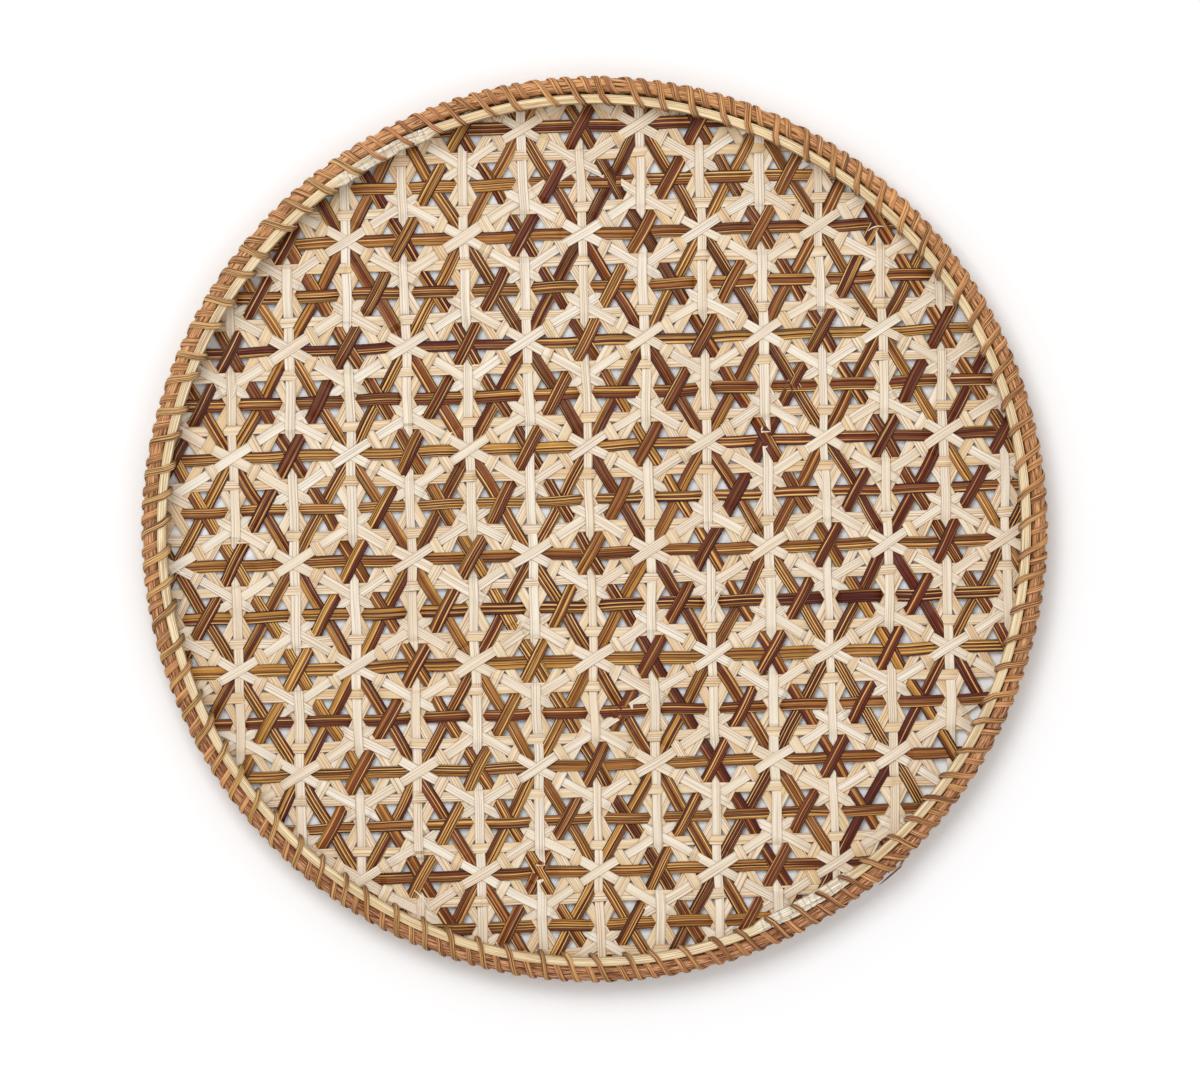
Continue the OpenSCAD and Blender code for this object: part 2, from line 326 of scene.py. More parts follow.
class Strip:
    """One strip. It lies along way, in grid steps, through the grid place start."""

    def __init__(self, kind, turn, number, start, way, width):
        self.kind, self.turn, self.number, self.width = kind, turn, number, width
        self.start, self.way = np.array(start, float), np.array(way, float)
        along = self.way[0] * GRID_I + self.way[1] * GRID_J
        self.whole = np.linalg.norm(along)
        self.along = along / self.whole
        self.left = np.array([-self.along[1], self.along[0]])
        self.base = GRID_0 + self.start[0] * GRID_I + self.start[1] * GRID_J

    def lay(self, shift):
        """Puts the strip in its real place, a little off the grid, and cuts it to length."""
        self.base = self.base + shift * self.left
        off = self.base @ self.left
        end_r = FOLD_R + BEND_R * math.pi / 2 + TURN_UP + rng.uniform(-END_SPREAD, END_SPREAD)
        half = math.sqrt(end_r**2 - off**2)
        middle = -(self.base @ self.along)
        self.s = middle + np.linspace(-half, half, 2 * int(half / STEP))
        self.step = self.s[1] - self.s[0]
        bend = wander(self.s, SIDE_WANDER, SIDE_WAVE)
        self.centre = self.base + self.s[:, None] * self.along + bend[:, None] * self.left
        self.half_w = self.width / 2 * (1 + wander(self.s, WIDTH_WANDER, WIDTH_WAVE))


def strip_set(kind, turn, numbers, start, way, width):
    """The strips of one set that are well inside the rim."""
    strips = []
    for number in numbers:
        strip = Strip(kind, turn, number, [number * c for c in start], way, width)
        inside = abs(strip.base @ strip.left) < FOLD_R - LEAST_INSIDE
        if inside and (kind, turn, number) not in ABSENT:
            strip.width = width * rng.normal(1, WIDTH_SPREAD)
            strip.lay(rng.normal(0, SIDE_SPREAD))
            strips.append(strip)
    return strips


# Rows with no strip, though one would just fit inside the rim
ABSENT = [("star", 90, -7), ("dark", 60, 9)]
# Rows are numbered by the grid, base strips half way between. Star strips 30 and 150 take every second.
WHOLE = range(-16, 17)
HALVES = [n + 0.5 for n in WHOLE]
EVEN = [n for n in WHOLE if n % 2 == 0]
SETS = {
    ("dark", 0): strip_set("dark", 0, WHOLE, (0, 1), (1, 0), DARK_W),
    ("dark", 60): strip_set("dark", 60, WHOLE, (1, 0), (0, 1), DARK_W),
    ("dark", 120): strip_set("dark", 120, WHOLE, (1, 0), (-1, 1), DARK_W),
    ("base", 0): strip_set("base", 0, HALVES, (0, 1), (1, 0), BASE_W),
    ("base", 60): strip_set("base", 60, HALVES, (1, 0), (0, 1), BASE_W),
    ("base", 120): strip_set("base", 120, HALVES, (1, 0), (-1, 1), BASE_W),
    ("star", 30): strip_set("star", 30, EVEN, (1, 0), (1, 1), STAR_W),
    ("star", 90): strip_set("star", 90, WHOLE, (1, 0), (-1, 2), STAR_W),
    ("star", 150): strip_set("star", 150, EVEN, (1, 0), (-2, 1), STAR_W),
}

# Order of the strips at a grid point, lowest first, by whether its i and j are odd
POINT_ORDER = {
    (0, 0): ["dark120", "dark0", "dark60", "star90", "star150", "star30"],
    (1, 0): ["star90", "dark0", "dark120", "dark60"],
    (1, 1): ["star30", "dark120", "dark0", "dark60"],
    (0, 1): ["star150", "dark60", "dark120", "dark0"],
}
# Order of the white strips at a star between the grid points, and which base strips lie over which
STAR_ORDER = [30, 150, 90]
BASE_OVER = {(60, 0), (120, 60), (0, 120)}
# Crossings further out than this are in the turned-up edge, and don't count as contacts
CONTACT_R = FOLD_R + 6


def is_over(a, b, s_a, s_b):
    """True if strip a lies over strip b where they cross, at these distances in grid steps."""
    if (a.kind, b.kind) in (("base", "dark"), ("base", "star"), ("dark", "star")):
        return not is_over(b, a, s_b, s_a)
    place = a.start + s_a * a.way
    at_point = np.abs(place - np.round(place)).max() < 0.01
    if at_point:
        order = POINT_ORDER[tuple(int(c) % 2 for c in np.round(place))]
        return order.index(f"{a.kind}{a.turn}") > order.index(f"{b.kind}{b.turn}")
    if a.kind == b.kind == "star":
        return STAR_ORDER.index(a.turn) > STAR_ORDER.index(b.turn)
    if a.kind == b.kind:
        return (a.turn, b.turn) in BASE_OVER
    if a.kind == "dark":
        return a.number % 2 == 0
    near = a.start + round(s_a) * a.way
    beside_point = abs(s_a - round(s_a)) < 0.3
    return not (b.kind == "base" and beside_point and not (near % 2).any())


def contacts(a, b, first_a, first_b):
    """Where two strips lie over each other near their crossing: places on the upper one and the places
    under them on the lower one, counted in rings from each strip's first ring."""
    cross = a.along[0] * b.along[1] - a.along[1] * b.along[0]
    gap = b.base - a.base
    s_a = (gap[0] * b.along[1] - gap[1] * b.along[0]) / cross
    s_b = (gap[0] * a.along[1] - gap[1] * a.along[0]) / cross
    if np.linalg.norm(a.base + s_a * a.along) > CONTACT_R:
        return None
    turn = a.along @ b.along
    reach = (b.width + a.width * abs(turn)) / 2 / abs(cross)
    u = np.arange(-reach, reach + STEP, STEP / 2)
    wide_a, wide_b = a.width / 2, b.width / 2
    if turn:
        side = np.sort([(-wide_b + u * cross) / turn, (wide_b + u * cross) / turn], 0)
    else:
        side = np.tile([[-wide_a], [wide_a]], len(u))
    left, right = np.maximum(side[0], -wide_a), np.minimum(side[1], wide_a)
    u, left, right = u[left <= right], left[left <= right], right[left <= right]
    across = np.concatenate([left, (left + right) / 2, right])
    u = np.tile(u, 3)
    v = u * turn + across * cross
    at_a = (s_a + u - a.s[0]) / a.step
    at_b = (s_b + v - b.s[0]) / b.step
    inside = (at_a > 0) & (at_a < len(a.s) - 1.01) & (at_b > 0) & (at_b < len(b.s) - 1.01)
    over = is_over(a, b, round(s_a / a.whole * 12) / 12, round(s_b / b.whole * 12) / 12)
    pair = [at_a[inside] + first_a, at_b[inside] + first_b]
    return pair if over else pair[::-1]


# Turns of settling, in which each strip is pulled straight and pushed off those that it touches
SETTLE_TURNS = 500
LAST_TURNS = 60
PULL, LAST_PULL = 0.5, 0.12
PUSH = 1.4


def settle(strips):
    """Finds the strips' heights: each as straight as the strips over and under it allow."""
    first = np.cumsum([0] + [len(s.s) for s in strips])
    over, under = [], []
    for k, a in enumerate(strips):
        for m in range(k):
            b = strips[m]
            if (a.turn != b.turn) and (pair := contacts(a, b, first[k], first[m])):
                over.append(pair[0])
                under.append(pair[1])
    over, under = np.concatenate(over), np.concatenate(under)
    # Each place lies between two rings: the heights that count for a contact are those of four rings
    ring_o, ring_u = over.astype(int), under.astype(int)
    corner = np.concatenate([ring_o, ring_o + 1, ring_u, ring_u + 1])
    part_o, part_u = over % 1, under % 1
    weight = np.concatenate([1 - part_o, part_o, part_u - 1, -part_u])
    total = first[-1]
    z = np.zeros(total)
    inner = np.ones(total, bool)
    inner[first[:-1]] = inner[first[1:] - 1] = False
    inner = np.flatnonzero(inner)
    pairs = len(over)
    norm = (weight.reshape(4, pairs) ** 2).sum(0)
    for turn in range(SETTLE_TURNS):
        smooth = z.copy()
        smooth[inner] = (z[inner - 1] + z[inner + 1]) / 2
        pull = PULL if turn < SETTLE_TURNS - LAST_TURNS else LAST_PULL
        z += pull * (smooth - z)
        lift = (weight * z[corner]).reshape(4, pairs).sum(0)
        short = np.maximum(STRIP_T + CLEAR - lift, 0) / norm
        push = np.tile(short, 4) * weight
        hit = np.tile(short > 0, 4)
        amount = np.bincount(corner, push, total)
        number = np.bincount(corner, hit * np.abs(weight), total)
        z += PUSH * amount / np.maximum(number, 1)
    return np.split(z, first[1:-1])


def fold_up(points, room):
    """Turns the mat's edge up between hoop and band. room is what each point's height is cut to there."""
    r = np.hypot(points[..., 0], points[..., 1])
    turned = np.clip((r - FOLD_R) / BEND_R, 0, math.pi / 2)
    rise = np.maximum(r - FOLD_R - BEND_R * math.pi / 2, 0)
    height = points[..., 2] + (room - points[..., 2]) * np.sin(turned)
    out = np.minimum(r, FOLD_R) + BEND_R * np.sin(turned) - height * np.sin(turned)
    scale = (out / r)[..., None]
    z = BEND_R * (1 - np.cos(turned)) + rise + height * np.cos(turned)
    return np.concatenate([points[..., :2] * scale, z[..., None]], -1)


# Section of a strip, anticlockwise from its lower left: side, mm in from its edge, share of the height
STRIP_SECTION = np.array([
    (-1, 0.06, 0), (1, 0.06, 0), (1, 0, 0.3), (1, 0, 0.7),
    (1, 0.15, 1), (-1, 0.15, 1), (-1, 0, 0.7), (-1, 0, 0.3),
])
# Where each kind of strip lies between hoop and band, and how much of the strips' thickness it has there
EDGE_ROOM = {"base": 0.06, "dark": 0.3, "star": 0.5}
EDGE_SHARE = 0.8
# Each strip takes its grain from its own place within this length
GRAIN_ROOM = 4000


def add_strip(shape, strip, tone):
    """Adds a strip, with its own stretch of grain."""
    side, inset, share = STRIP_SECTION.T
    across = side * (strip.half_w[:, None] - inset)
    flat = strip.centre[:, None, :] + across[..., None] * strip.left
    lift = share * STRIP_T
    z = strip.height[:, None] + lift
    room = EDGE_ROOM[strip.kind] + lift * EDGE_SHARE
    rings = fold_up(np.concatenate([flat, z[..., None]], -1), np.broadcast_to(room, z.shape))
    seed = rng.uniform(0, GRAIN_ROOM)
    along = np.broadcast_to(strip.s[:, None] + seed, across.shape)
    grain = np.stack([along, across + seed / 7, np.broadcast_to(lift, across.shape)], -1)
    shape.sweep(rings, grain, across / strip.half_w[:, None], tone)


GOLD, OCHRE, BROWN, MAROON = srgb(184, 128, 56), srgb(152, 92, 42), srgb(116, 50, 24), srgb(88, 26, 14)
STRAW_TONES = [srgb(234, 214, 182), srgb(230, 206, 166), srgb(226, 194, 148)]
CREAM_TONES = [srgb(234, 221, 200), srgb(232, 214, 188), srgb(238, 230, 214)]
# Each kind's palette, and the part of it that its strips are picked from
PALETTES = {
    "dark": ([GOLD, OCHRE, BROWN, MAROON], 0.5, 2.9),
    "base": (STRAW_TONES, 0, 2),
    "star": (CREAM_TONES, 0, 2),
}

# Loose fibres that lie on the mat: clock angle and distance of the middle, direction and length
FIBRES = [
    (264.6, 207.5, 38, 11), (264.2, 206.5, -34, 9), (120.3, 69.5, 63, 13), (122.5, 71, 74, 9),
    (43, 205, 15, 8), (205, 203, -52, 12), (291, 192, 70, 8), (138, 206, -18, 10),
]
FIBRE_HALF_W = 0.26
FIBRE_HALF_T = 0.05
FIBRE_BEND = 0.6
FIBRE_TONE = srgb(240, 234, 222)


def loose_fibres(shape, top):
    """Thin split fibres that have come loose and lie over the mat."""
    for clock_angle, r, direction, length in FIBRES:
        middle = rim_points(90 - clock_angle, r, top)
        ahead = np.append(heading(direction), 0)
        left = np.array([-ahead[1], ahead[0], 0])
        share = np.linspace(-0.5, 0.5, 14)[:, None]
        line = middle + length * share * ahead + rng.normal(0, FIBRE_BEND) * (4 * share**2 - 0.5) * left
        line = line + [0, 0, 1] * (0.15 - 2.4 * share**2)
        half_w = FIBRE_HALF_W * (1 - 1.4 * share**2)
        section = [(-1, -1), (1, -1), (1, 1), (-1, 1)]
        rings = np.stack([line + side * half_w * left + [0, 0, up * FIBRE_HALF_T] for side, up in section], 1)
        grain = np.stack([length * share + np.zeros(4), half_w * [-1, 1, 1, -1], 0 * share + np.zeros(4)], -1)
        shape.sweep(rings, grain, 0.0, FIBRE_TONE)


def strip_tone(strip):
    """The strip's own colour, from its kind's palette."""
    palette, first, last = PALETTES[strip.kind]
    pick = rng.uniform(first, last)
    low = int(pick)
    return palette[low] + (palette[min(low + 1, len(palette) - 1)] - palette[low]) * (pick - low)


def weave():
    """All strips, in one piece for each node of the frame."""
    dark = dark_bamboo()
    base = pale_bamboo("base_bamboo", opaque(162, 112, 84), 0.7, opaque(208, 176, 130), 0.75)
    star = pale_bamboo("white_bamboo", opaque(168, 134, 110), 0.62, opaque(214, 194, 164), 0.68)
    strips = [s for group in SETS.values() for s in group]
    heights = settle(strips)
    low = min(h.min() for h in heights)
    for strip, height in zip(strips, heights):
        strip.height = height - low
    mat_top = max(s.height.max() for s in strips) + STRIP_T
    groups = {}
    for (kind, turn), group in SETS.items():
        if kind == "dark":
            # The low strips are those of the even rows, which lie under the stars' middles
            groups[f"dark_low_strips_{turn}"] = [s for s in group if s.number % 2 == 0], dark, "dark_bamboo"
            groups[f"dark_high_strips_{turn}"] = [s for s in group if s.number % 2 == 1], dark, "dark_bamboo"
        elif kind == "base":
            groups[f"base_strips_{turn}"] = group, base, "base_bamboo"
        else:
            groups[f"star_strips_{turn}"] = group, star, "white_bamboo"
    for node, (group, material, slot) in groups.items():
        shape = Shape()
        for strip in group:
            add_strip(shape, strip, strip_tone(strip))
        if node == "star_strips_90":
            loose_fibres(shape, mat_top)
        shape.build(node + "_woven", material, [node])


# ---------------------------------------------------------------- rim


def clock(angle):
    """Clock angle, clockwise from the top, of an angle round the rim."""
    return (90 - angle) % 360


def by_sector(angle, stops):
    """A value that changes smoothly with the clock angle, from (clock angle, value) stops."""
    at = [stops[-1][0] - 360] + [s[0] for s in stops] + [stops[0][0] + 360]
    values = np.array([stops[-1][1]] + [s[1] for s in stops] + [stops[0][1]], float)
    where = clock(angle)
    if values.ndim == 1:
        return np.interp(where, at, values)
    return np.stack([np.interp(where, at, values[:, c]) for c in range(values.shape[1])], -1)


def lath_ring(shape, from_angle, to_angle, r_in, r_out, z_low, z_high, tone, round_r):
    """A lath on edge, bent round the rim, with rounded edges. r_in, r_out and z_high change along it."""
    n = len(r_in)
    angle = np.linspace(from_angle, to_angle, n)
    corners = []
    for r, z, turn in ((r_out, z_low, -45), (r_out, z_high, 45), (r_in, z_high, 135), (r_in, z_low, 225)):
        for step in (-45, -15, 15, 45):
            a = math.radians(turn + step)
            sign_r = 1 if r is r_out else -1
            sign_z = 1 if z is z_high else -1
            radius = r - sign_r * round_r + round_r * math.cos(a)
            height = z - sign_z * round_r + round_r * math.sin(a)
            corners.append((radius, height + 0 * radius))
    radius = np.stack([c[0] for c in corners], 1)
    height = np.stack([c[1] for c in corners], 1)
    rings = rim_points(angle[:, None], radius, height)[:, ::-1]
    middle = (r_in + r_out)[:, None] / 2
    along = np.radians(angle)[:, None] * middle + 0 * radius
    grain = np.stack([along, radius - middle, height], -1)[:, ::-1]
    span = ((radius - middle) / HOOP_T * 2)[:, ::-1]
    shape.sweep(rings, grain, span, tone)


# Tones and places round the rim are by clock angle
HOOP_TONES = [
    (0, srgb(240, 214, 166)), (150, srgb(240, 220, 180)),
    (210, srgb(238, 214, 168)), (300, srgb(243, 224, 186)),
]
# How far the hoop stands off its true circle
HOOP_OFF = [
    (0, -0.4), (40, 0.1), (60, 0.6), (100, 0.4), (140, 0.8), (158, 0.4), (190, 1.2), (260, 1.0), (300, 1.1),
    (318, 0.9), (334, 0.7), (340, -0.5),
]
# Thickness of the hoop's lath, a little less than in the CAD
LATH_T = 4.3
# Each half hoop goes LAP degrees past its joints, and is chopped for CHOP degrees on both sides of them,
# by cuts CUT_GAP apart. The chopped part reaches CHOP_IN further in.
LAP = 5.4
CHOP = 7.8
CHOP_FADE = 1.5
CUT_GAP = 4.2
CUT_W = 1.2
CHOP_IN = 2.0
CHOP_TONE = srgb(253, 247, 230)
HOOP_RINGS = 1400


def inner_hoop():
    """Two half hoops, whose ends are cut to half thickness and lie on each other, roughly chopped."""
    material = fibrous(
        "hoop_bamboo", streak=opaque(196, 162, 114), streak_amount=0.5, dark=opaque(150, 110, 74),
        dark_amount=0.6, pale=opaque(232, 214, 178), waves=0.012, bump_height=0.1, rough=0.5, lines=0.5,
    )
    for k, start in enumerate((HOOP_JOINT, HOOP_JOINT + 180)):
        from_angle, to_angle = start - LAP, start + 180 + LAP
        angle = np.linspace(from_angle, to_angle, HOOP_RINGS)
        arc = np.radians(angle) * HOOP_OUT_R
        past_start, to_end = angle - start, start + 180 - angle
        chopped = np.clip((CHOP - np.minimum(np.abs(past_start), np.abs(to_end))) / CHOP_FADE, 0, 1)
        # Blocks between the cuts each stand at their own height, cut, and are rough in steps of 0.7 mm
        block = arc / CUT_GAP + 2000 + 0.5 * np.sin(arc / 5)
        cut = rng.uniform(0, 1, 4000)[block.astype(int) % 4000]
        groove = np.clip(1 - np.abs(block % 1 - 0.5) * CUT_GAP / (CUT_W / 2), 0, 1) * chopped
        rough = rng.uniform(-1, 1, 9000)[(arc / 0.7 + 4000).astype(int) % 9000]
        outer = HOOP_OUT_R + by_sector(angle, HOOP_OFF)
        r_out = outer + wander(arc, 0.1, 160) + chopped * (0.05 * rough - 0.25 * cut)
        r_in = outer - LATH_T + wander(arc, 0.12, 210) - chopped * (CHOP_IN + 0.1 * rough - 0.6 * cut)
        # At its start, a half hoop keeps its outer half, and at its end its inner half
        middle = outer - LATH_T / 2 + 0.25 * np.sin(arc / 3) * chopped
        r_in = np.where(past_start < LAP, middle + CLEAR, r_in)
        r_out = np.where(to_end < LAP, middle - CLEAR, r_out)
        top = HOOP_TOP - 0.15 + wander(arc, 0.12, 60)
        top = top - chopped * (0.1 + 0.4 * cut + 0.03 * rough) - 0.3 * groove
        tone = by_sector(angle, HOOP_TONES)
        tone = tone + chopped[:, None] * (CHOP_TONE - tone)
        tone = tone * (1 - 0.55 * groove[:, None]) * (1 - 0.1 * (chopped * cut)[:, None])
        shape = Shape()
        lath_ring(shape, from_angle, to_angle, r_in, r_out, HOOP_FOOT, top, tone, round_r=0.35)
        shape.build(f"inner_hoop_{k + 1}_lath", material, [f"inner_hoop_{k + 1}"])


# The band's ends meet with this small gap, in degrees
BAND_GAP = 0.01
BAND_RINGS = 1100
BAND_TONE = srgb(206, 166, 108)


def outer_band():
    """The band outside the mat's edge, with shallow waves in its outside and top."""
    material = fibrous(
        "band_bamboo", streak=opaque(190, 140, 84), streak_amount=0.5, dark=opaque(120, 78, 44),
        dark_amount=0.5, pale=opaque(226, 192, 140), waves=0.012, bump_height=0.1, rough=0.5,
    )
    end = 360 - BAND_GAP
    angle = np.linspace(0, end, BAND_RINGS)
    wave = 0.06 * (1 - np.cos(np.radians(angle * 40)))
    r_out = BAND_OUT_R - wave
    r_in = BAND_OUT_R - BAND_T + 0 * angle
    shape = Shape()
    lath_ring(shape, 0, end, r_in, r_out, BAND_FOOT, BAND_TOP - 0.1 - wave, BAND_TONE, round_r=0.5)
    shape.build("outer_band_lath", material, ["outer_band"])


# The cane's tone by clock angle. It is darker from about clock 150 to 250: partly the cane's own colour,
# partly painted shade on the side away from the light.
CANE_TONES_AND_SHADE = [
    (0, srgb(216, 154, 92)), (60, srgb(204, 142, 86)), (110, srgb(180, 124, 76)),
    (150, srgb(162, 102, 60)), (200, srgb(158, 100, 58)), (250, srgb(162, 102, 60)),
    (290, srgb(206, 145, 92)), (330, srgb(214, 156, 102)),
]
ROUND = np.radians(np.arange(0, 360, 15))
CANE_RINGS_PER_DEGREE = 5
# The cane's lengths go this many degrees past their joints, and are thinned to END_SHARE there
CANE_LAP = 2.4
END_SHARE = 0.3
# The cane's outside, and where the splinter leaves it
CANE_OUT_R, SPLINTER_R = 224, 223.4
SPLINTER_TONE = srgb(92, 54, 34)


def splinter(shape):
    """A pointed sliver that leaves the cane's outside at its first joint and stands off it."""
    share = np.linspace(0, 1, 16)[:, None]
    angle = CANE_JOINTS[0] + 1.0 - 4.9 * share
    size = 1.0 * (1 - share) ** 0.7 + 0.1
    a = np.radians(np.arange(0, 360, 45))[::-1]
    r = SPLINTER_R + 2.2 * np.minimum(share * 4, 1) + 0.4 * share + size * 0.75 * np.cos(a)
    z = CANE_MID_Z + 0.8 + 0.4 * share + size * 0.4 * np.sin(a)
    grain = np.stack([np.radians(angle) * CANE_OUT_R + 0 * r, r, z], -1)
    shape.sweep(rim_points(angle, r, z), grain, 0.0, SPLINTER_TONE)


def rim_cane():
    """The round cane, in two lengths whose thinned ends lie past each other."""
    material = fibrous(
        "rim_cane", streak=opaque(164, 104, 64), streak_amount=0.6, dark=opaque(66, 30, 20),
        dark_amount=0.95, pale=opaque(232, 184, 140), waves=0.05, bump_height=0.35, rough=0.5,
    )
    spans = ((CANE_JOINTS[0], CANE_JOINTS[1]), (CANE_JOINTS[1], CANE_JOINTS[0] + 360))
    for k, (start, end) in enumerate(spans):
        rings = int((end - start) * CANE_RINGS_PER_DEGREE)
        angle = np.linspace(start - CANE_LAP, end + CANE_LAP, rings)
        arc = np.radians(angle) * CANE_MID_R
        from_end = np.minimum(angle - angle[0], angle[-1] - angle)
        whole = np.clip(from_end / (2 * CANE_LAP), 0, 1)
        radius = CANE_R * (1 - 0.03 + wander(arc, 0.02, 47)) * (END_SHARE + (1 - END_SHARE) * whole)
        aside = np.where(angle < (start + end) / 2, -1, 1) * (1 - whole) * 0.6 * CANE_R
        middle = (CANE_MID_R + aside - 0.05)[:, None]
        r = middle + radius[:, None] * np.cos(ROUND)
        z = CANE_MID_Z + radius[:, None] * np.sin(ROUND)
        points = rim_points(angle[:, None], r, z)[:, ::-1]
        # The second length is shifted in the grain, so that its streaks are its own
        grain = np.stack([arc[:, None] + 0 * r, r - middle, z + 300 * k], -1)[:, ::-1]
        shape = Shape()
        shape.sweep(points, grain, 0.0, by_sector(angle, CANE_TONES_AND_SHADE))
        if k == 0:
            splinter(shape)
        shape.build(f"rim_cane_{k + 1}_round", material, [f"rim_cane_{k + 1}"])


STITCHES = 91
# The strand's tone by clock angle. It is darker from about clock 110 to 200: partly the strand's own colour,
# partly painted shade on the side away from the light.
STRAND_TONES_AND_SHADE = [
    (0, srgb(206, 146, 88)), (60, srgb(206, 146, 88)), (110, srgb(194, 138, 84)),
    (150, srgb(172, 116, 72)), (200, srgb(190, 140, 80)), (250, srgb(198, 152, 88)),
    (300, srgb(206, 162, 104)), (327, srgb(208, 164, 106)), (330, srgb(198, 126, 82)),
    (341, srgb(198, 126, 84)), (344, srgb(206, 150, 98)),
]
# Width of the long stitches by clock angle, and how the short turns round the cane differ in width,
# rings and tone
STRAND_W = [
    (0, 3.1), (60, 3.0), (120, 2.9), (165, 2.6), (190, 2.6), (235, 2.8), (255, 3.4), (300, 3.5),
    (326, 3.4), (329, 2.2), (341, 2.1), (344, 2.9),
]
SHORT_W = 1.08
SHORT_STEPS = 18
SHORT_TONE = srgb(210, 146, 96)
SHORT_TONE_SHARE = 0.75
# How far a stitch and a short turn lean along the rim, as shares of a stitch, and how much they vary
LEAN, LEAN_SPREAD = 0.6, 0.08
SHORT_LEAN, SHORT_LEAN_SPREAD = 0.36, 0.03
# How much the strand's width, tone and place along the rim vary
STRAND_W_SPREAD, SHADE_SPREAD, SHIFT_SPREAD = 0.06, 0.07, 0.07
# Stitches whose short turn leans more, beside the cane's joints
SLANTED = {34: 0.62, 35: 0.5, 86: 0.55}
# Section of the strand, anticlockwise, in shares of its width and thickness
STRAND_SECTION = np.array([
    (-0.5, -0.15), (-0.4, -0.5), (0.4, -0.5), (0.5, -0.15), (0.46, 0.2),
    (0.3, 0.42), (0.0, 0.5), (-0.3, 0.42), (-0.46, 0.2),
])
# Radius of the strand's turns round the edges of hoop and band
TURN_R = 0.8
LENGTHS = 4
# Painted shade where the strand goes over the hoop's inner edge and down to its foot: it darkens by
# the shares on the last line, over DIVE mm from DIVE_START mm outside the hoop's inside
DIVE_START, DIVE = 3.5, 4.5
DIVE_SHADE = np.array([0.45, 0.42, 0.3])


def stitch_route(lean, short_lean):
    """The strand's way over one stitch, as rows of share of the stitch, radius, height and face angle."""
    r = CANE_R + 0.1 + STRAND_T / 2
    in_r = HOOP_IN_R - 0.1 - STRAND_T / 2
    out_r = BAND_OUT_R + 0.1 + STRAND_T / 2
    over_z = HOOP_TOP + 0.1 + STRAND_T / 2
    under_z = HOOP_FOOT - 0.05 - STRAND_T / 2
    rows = []

    def turn(share, middle_r, middle_z, radius, face):
        a = math.radians(face)
        rows.append((share, middle_r + radius * math.cos(a), middle_z + radius * math.sin(a), face))

    # Up the outside of the cane and over it
    for step in range(6):
        turn(lean * (0.07 * step - 0.05), CANE_MID_R, CANE_MID_Z, r, -20 + step * 20)
    # Over the hoop, down its inside, and out under its foot and the band
    rows.append((lean * 0.62, HOOP_OUT_R - 1.5, over_z, 92))
    for face in (90, 120, 150, 180):
        turn(lean * (0.85 + (face - 90) / 900), in_r + TURN_R, over_z - TURN_R, TURN_R, face)
    for face in (180, 225, 270):
        turn(lean, in_r + TURN_R, under_z + TURN_R, TURN_R, face)
    for face in (270, 315, 350):
        turn(0.5, out_r - TURN_R, under_z + TURN_R, TURN_R, face)
    # Once round the cane alone
    for step in range(SHORT_STEPS):
        face = -20 + step * 360 / SHORT_STEPS
        share = 0.47 + short_lean * np.interp(face, (-20, 0, 180, 340), (-0.05, 0, 1, 1.2))
        turn(share, CANE_MID_R, CANE_MID_Z, r, face)
    return rows


def strand_rows():
    """The whole strand, as rows of angle, radius, height, face angle, width, shade and short turn's tone."""
    rows = []
    for n in range(STITCHES):
        lean = rng.normal(LEAN, LEAN_SPREAD)
        short_lean = SLANTED.get(n, rng.normal(SHORT_LEAN, SHORT_LEAN_SPREAD))
        wide = by_sector(90 - (n + 0.5) * 360 / STITCHES, STRAND_W)
        widths = wide * rng.normal(1, STRAND_W_SPREAD), wide * rng.normal(SHORT_W, STRAND_W_SPREAD)
        shade = rng.normal(1, SHADE_SPREAD)
        shift = rng.normal(0, SHIFT_SPREAD)
        route = stitch_route(lean, short_lean)
        for k, (share, r, z, face) in enumerate(route):
            # The shift along the rim is full in the middle of a stitch, and none where two stitches meet
            shifted = shift * math.sin(math.pi * min(max(share, 0), 1))
            short = k >= len(route) - SHORT_STEPS
            angle = 90 - (n + share + shifted) * 360 / STITCHES
            rows.append((angle, r, z, face, widths[short], shade, SHORT_TONE_SHARE * short))
    return np.array(rows)


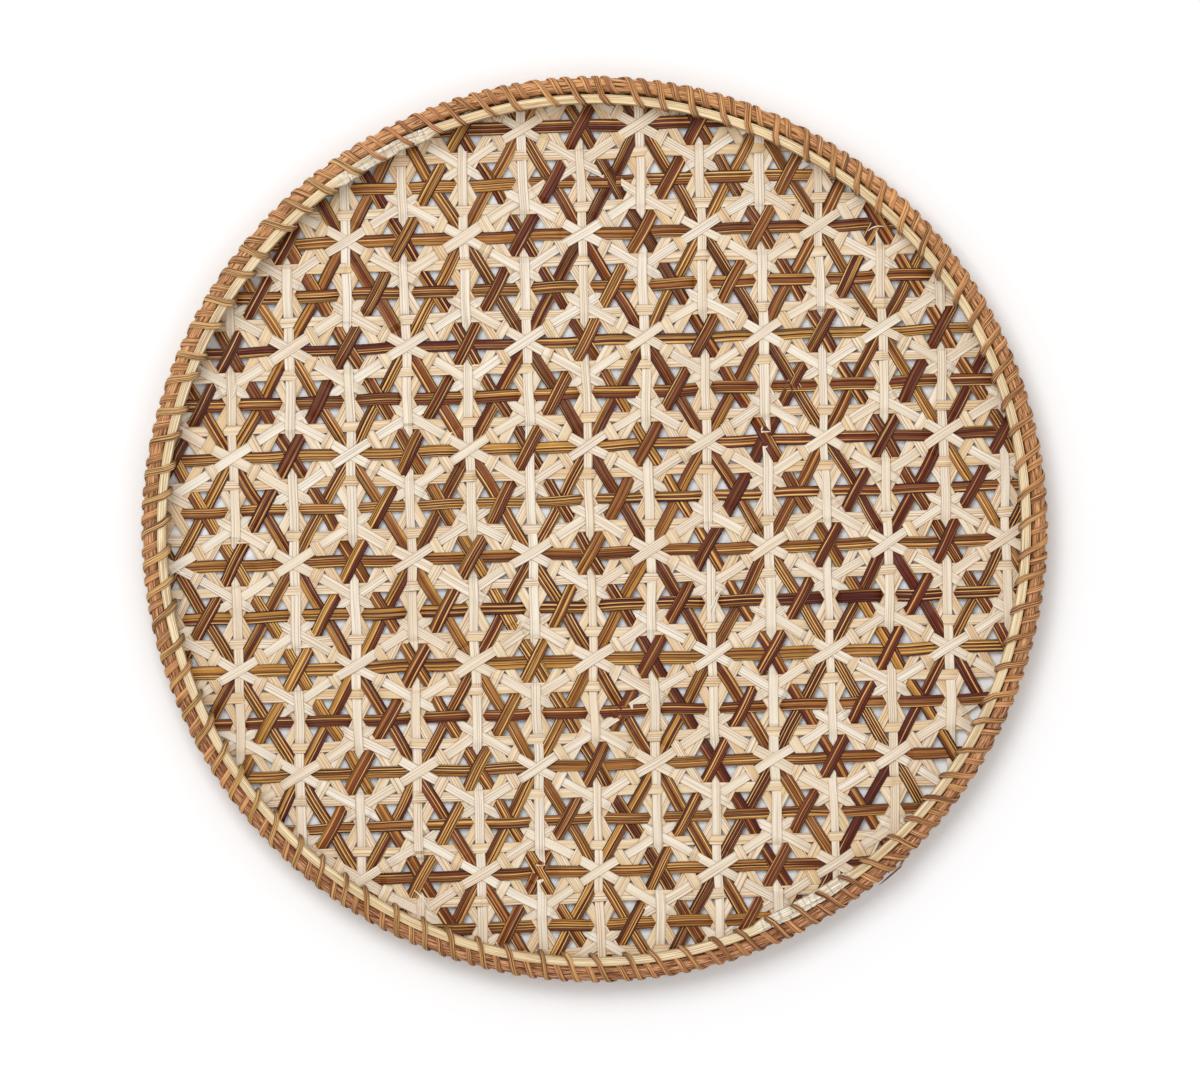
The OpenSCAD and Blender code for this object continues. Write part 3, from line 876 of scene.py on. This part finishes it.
def lashing():
    """The binding strand, in four lengths: long stitches over cane and hoop, and short turns between."""
    material = fibrous(
        "lashing_rattan", streak=opaque(158, 100, 50), streak_amount=0.5, dark=opaque(72, 36, 20),
        dark_amount=0.8, pale=opaque(228, 182, 120), waves=0.02, bump_height=0.18, rough=0.38, lines=0.85,
    )
    rows = strand_rows()
    angle, r, z, face, width, shade, short_tone = rows.T
    centre = rim_points(angle, r, z)
    ahead = np.gradient(centre, axis=0)
    ahead /= np.linalg.norm(ahead, axis=1)[:, None]
    face = np.radians(face)
    up = rim_points(angle, np.cos(face), np.sin(face))
    up -= (up * ahead).sum(1)[:, None] * ahead
    up /= np.linalg.norm(up, axis=1)[:, None]
    left = np.cross(up, ahead)
    length = np.concatenate([[0], np.cumsum(np.linalg.norm(np.diff(centre, axis=0), axis=1))])
    # The width changes over seven rings from that of a stitch to that of a turn
    width = np.convolve(np.pad(width, 3, "edge"), np.ones(7) / 7, "valid")
    across = STRAND_SECTION[:, 0] * width[:, None]
    through = STRAND_SECTION[:, 1] * STRAND_T + 0 * across
    rings = centre[:, None] + across[..., None] * left[:, None] + through[..., None] * up[:, None]
    tone = by_sector(angle, STRAND_TONES_AND_SHADE)
    tone = (tone + (SHORT_TONE - tone) * short_tone[:, None]) * shade[:, None]
    # Painted shade on the strand inside the hoop, down to its foot
    inside = np.clip((HOOP_IN_R + DIVE_START - r) / DIVE, 0, 1)[:, None]
    tone = tone * (1 - DIVE_SHADE * inside)
    grain = np.stack([length[:, None] + 0 * across, across, through], -1)
    span = STRAND_SECTION[:, 0] * 2 + 0 * across
    per_stitch = len(rows) // STITCHES
    for k in range(LENGTHS):
        first, last = (round(STITCHES * q / LENGTHS) * per_stitch for q in (k, k + 1))
        shape = Shape()
        shape.sweep(rings[first:last], grain[first:last], span[first:last], tone[first:last])
        shape.build(f"lashing_{k + 1}_strand", material, [f"lashing_{k + 1}"])


# ---------------------------------------------------------------- studio

# In metres. The camera looks straight down from high up at the rim's level, FOCUS_Z, where its view is
# VIEW_WIDTH wide.
VIEW_HEIGHT = 5.0
VIEW_WIDTH = 0.5953
VIEW_MIDDLE = (0.00268, -0.00216)
FOCUS_Z = 0.018
SENSOR_MM = 36
DOME_STRENGTH = 0.65
# Soft lights: name, place, size and watts
LIGHTS = [("key", (-0.5, 0.8, 2.1), 1.2, 26), ("fill", (0.6, -0.5, 2.4), 1.6, 5)]
FLOOR_HALF = 4
FLOOR_Z = -0.0002


def top_camera(scene):
    """The camera straight above the basket."""
    camera = bpy.data.objects.new("camera", bpy.data.cameras.new("camera"))
    camera.location = (*VIEW_MIDDLE, VIEW_HEIGHT)
    camera.data.sensor_width = SENSOR_MM
    camera.data.lens = SENSOR_MM * (VIEW_HEIGHT - FOCUS_Z) / VIEW_WIDTH
    camera.data.clip_end = 50
    scene.collection.objects.link(camera)
    scene.camera = camera


def soft_lights(scene):
    """An even white dome, and soft lights turned to the basket."""
    world = bpy.data.worlds.new("studio")
    scene.world = world
    world.use_nodes = True
    background = world.node_tree.nodes["Background"]
    background.inputs["Color"].default_value = (1, 1, 1, 1)
    background.inputs["Strength"].default_value = DOME_STRENGTH
    for name, place, size, power in LIGHTS:
        lamp = bpy.data.lights.new(name, "AREA")
        lamp.size = size
        lamp.energy = power
        light = bpy.data.objects.new(name, lamp)
        light.location = place
        direction = -np.array(place)
        light.rotation_euler = (
            math.acos(-direction[2] / np.linalg.norm(direction)), 0,
            math.atan2(direction[1], direction[0]) - math.pi / 2,
        )
        scene.collection.objects.link(light)


def pale_floor(scene):
    """A plain pale floor under the basket."""
    mesh = bpy.data.meshes.new("floor")
    corners = [(FLOOR_HALF * x, FLOOR_HALF * y, 0) for x, y in ((-1, -1), (1, -1), (1, 1), (-1, 1))]
    mesh.from_pydata(corners, [], [(0, 1, 2, 3)])
    n = Nodes("floor")
    n.shader.inputs["Base Color"].default_value = (0.95, 0.95, 0.955, 1)
    n.shader.inputs["Roughness"].default_value = 0.9
    mesh.materials.append(n.material)
    floor = bpy.data.objects.new("floor", mesh)
    floor.location.z = FLOOR_Z
    scene.collection.objects.link(floor)


def studio():
    """Camera, lights and floor."""
    scene = bpy.context.scene
    scene.view_settings.view_transform = "Standard"
    top_camera(scene)
    soft_lights(scene)
    pale_floor(scene)


studio()
weave()
inner_hoop()
outer_band()
rim_cane()
lashing()
